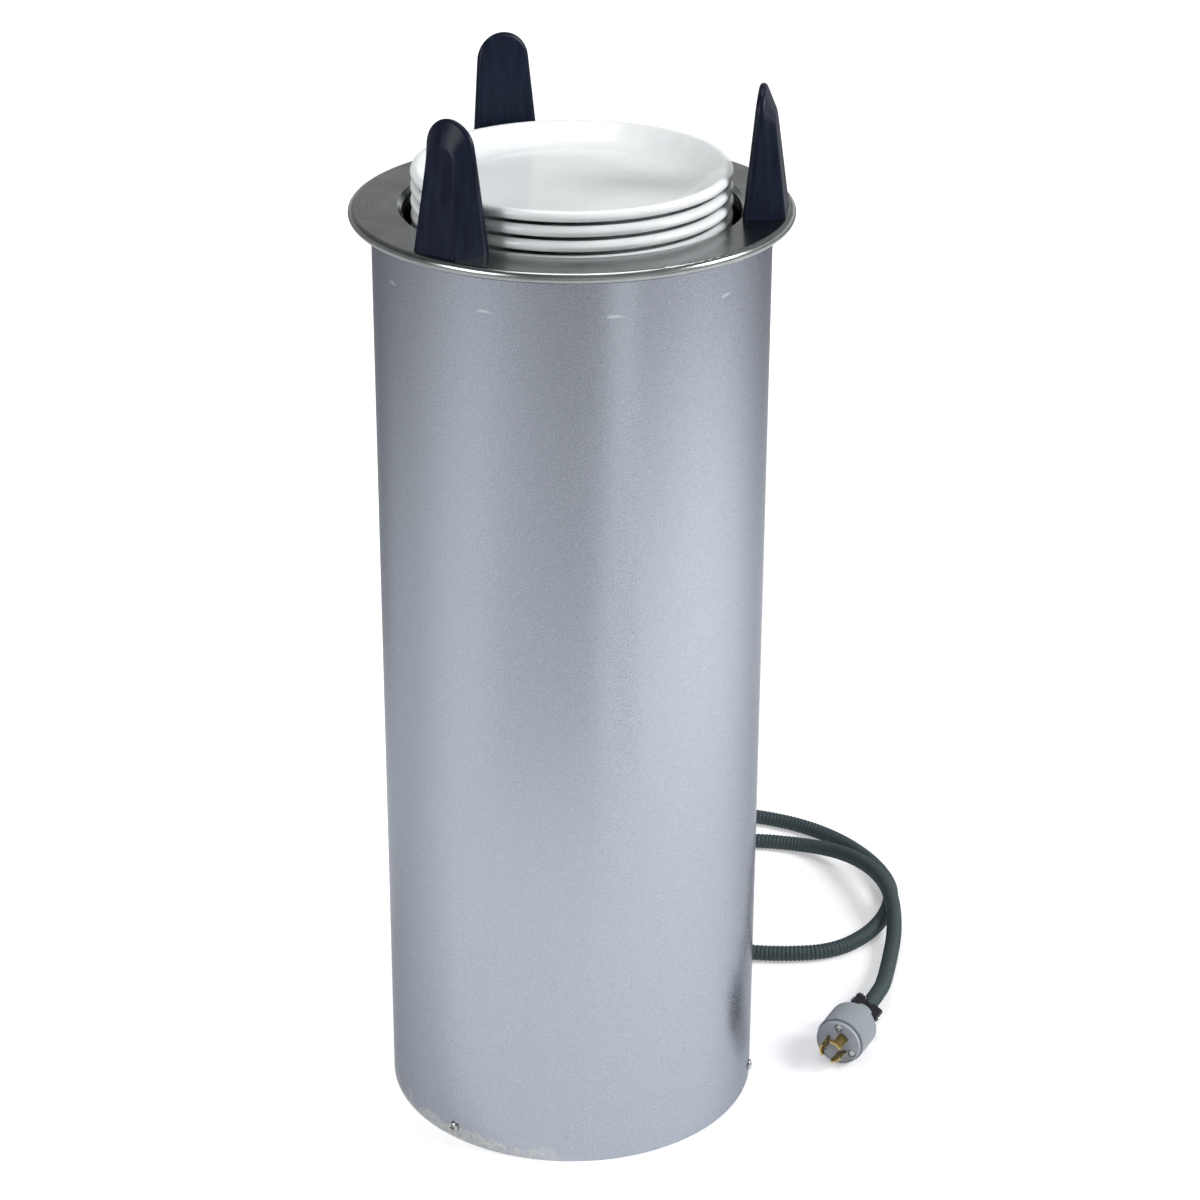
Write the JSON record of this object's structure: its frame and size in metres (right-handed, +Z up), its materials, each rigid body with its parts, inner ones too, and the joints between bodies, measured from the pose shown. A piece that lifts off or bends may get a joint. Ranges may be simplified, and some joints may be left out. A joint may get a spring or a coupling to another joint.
{
  "type": "plate dispenser",
  "caption": "Drop-in heated plate dispenser: a steel tube with a wide flange, guide posts and a sprung carriage that keeps stacked plates at counter height, with a power cord and locking plug.",
  "frame": {"origin": "on the floor at the centre of the shell's lower edge", "axes": "+Z up along the tube; +Y towards the rear guide post and the cord's exit; +X to the right"},
  "size_m": [0.5312, 0.5274, 0.8099],
  "materials": {
    "shell_steel": "satin mill finish, rolled sheet",
    "flange_steel": "spun and polished sheet",
    "inner_steel": "plain sheet",
    "post_plastic": "satin moulded",
    "screw_steel": "plated",
    "rod_steel": "ground and polished",
    "spring_steel": "drawn wire",
    "heater_sheath": "oxidised sheath",
    "insulator": "moulded",
    "nylon": "moulded",
    "bumper_rubber": "moulded",
    "china": "glazed",
    "gland_plastic": "moulded",
    "cord_rubber": "ribbed jacket",
    "plug_grip": "moulded",
    "plug_front": "moulded",
    "blade_brass": "stamped",
    "clamp_plastic": "moulded"
  },
  "bodies": {
    "shell": {"base_pan": "inner_steel", "base_screws": "screw_steel", "flange_collar": "inner_steel", "gland_locknut": "gland_plastic", "guide_post_left": "post_plastic", "guide_post_rear": "post_plastic", "guide_post_right": "post_plastic", "guide_post_screws": "screw_steel", "guide_rod_front": "rod_steel", "guide_rod_left": "rod_steel", "guide_rod_right": "rod_steel", "heat_shield": "inner_steel", "heater_clips": "inner_steel", "heater_element": "heater_sheath", "lift_spring_left": "spring_steel", "lift_spring_rear": "spring_steel", "lift_spring_right": "spring_steel", "outer_shell": "shell_steel", "plug_blades": "blade_brass", "plug_body": "plug_grip", "plug_clamp": "clamp_plastic", "plug_face": "plug_front", "plug_screws": "screw_steel", "power_cord": "cord_rubber", "rod_brackets": "inner_steel", "rod_bumpers": "bumper_rubber", "rod_screws": "screw_steel", "shield_standoffs": "inner_steel", "spring_brackets": "inner_steel", "strain_relief": "gland_plastic", "terminal_block": "insulator", "thermostat": "insulator", "top_flange": "flange_steel", "upper_spring_plugs": "spring_steel"},
    "carriage": {"carriage_platform": "inner_steel", "carriage_legs": "inner_steel", "carriage_spider": "inner_steel", "carriage_bushes": "nylon", "carriage_bolts": "screw_steel", "lower_spring_plugs": "spring_steel"},
    "plates": {"plate_stack": "china"},
    "top_plate": {"top_plate": "china"}
  },
  "joints": [
    {"name": "carriage_slide", "type": "slide", "parent": "shell", "child": "carriage", "axis": [0, 0, 1], "range_m": [-0.335, 0.035], "stiffness_N_per_m": 567, "springref_m": 0.0907, "deforming": ["lift_spring_right", "lift_spring_rear", "lift_spring_left"]},
    {"name": "stack_lift", "type": "slide", "parent": "carriage", "child": "plates", "axis": [0, 0, 1], "range_m": [0, 0.25]},
    {"name": "top_plate_lift", "type": "slide", "parent": "plates", "child": "top_plate", "axis": [0, 0, 1], "range_m": [0, 0.25]}
  ]
}
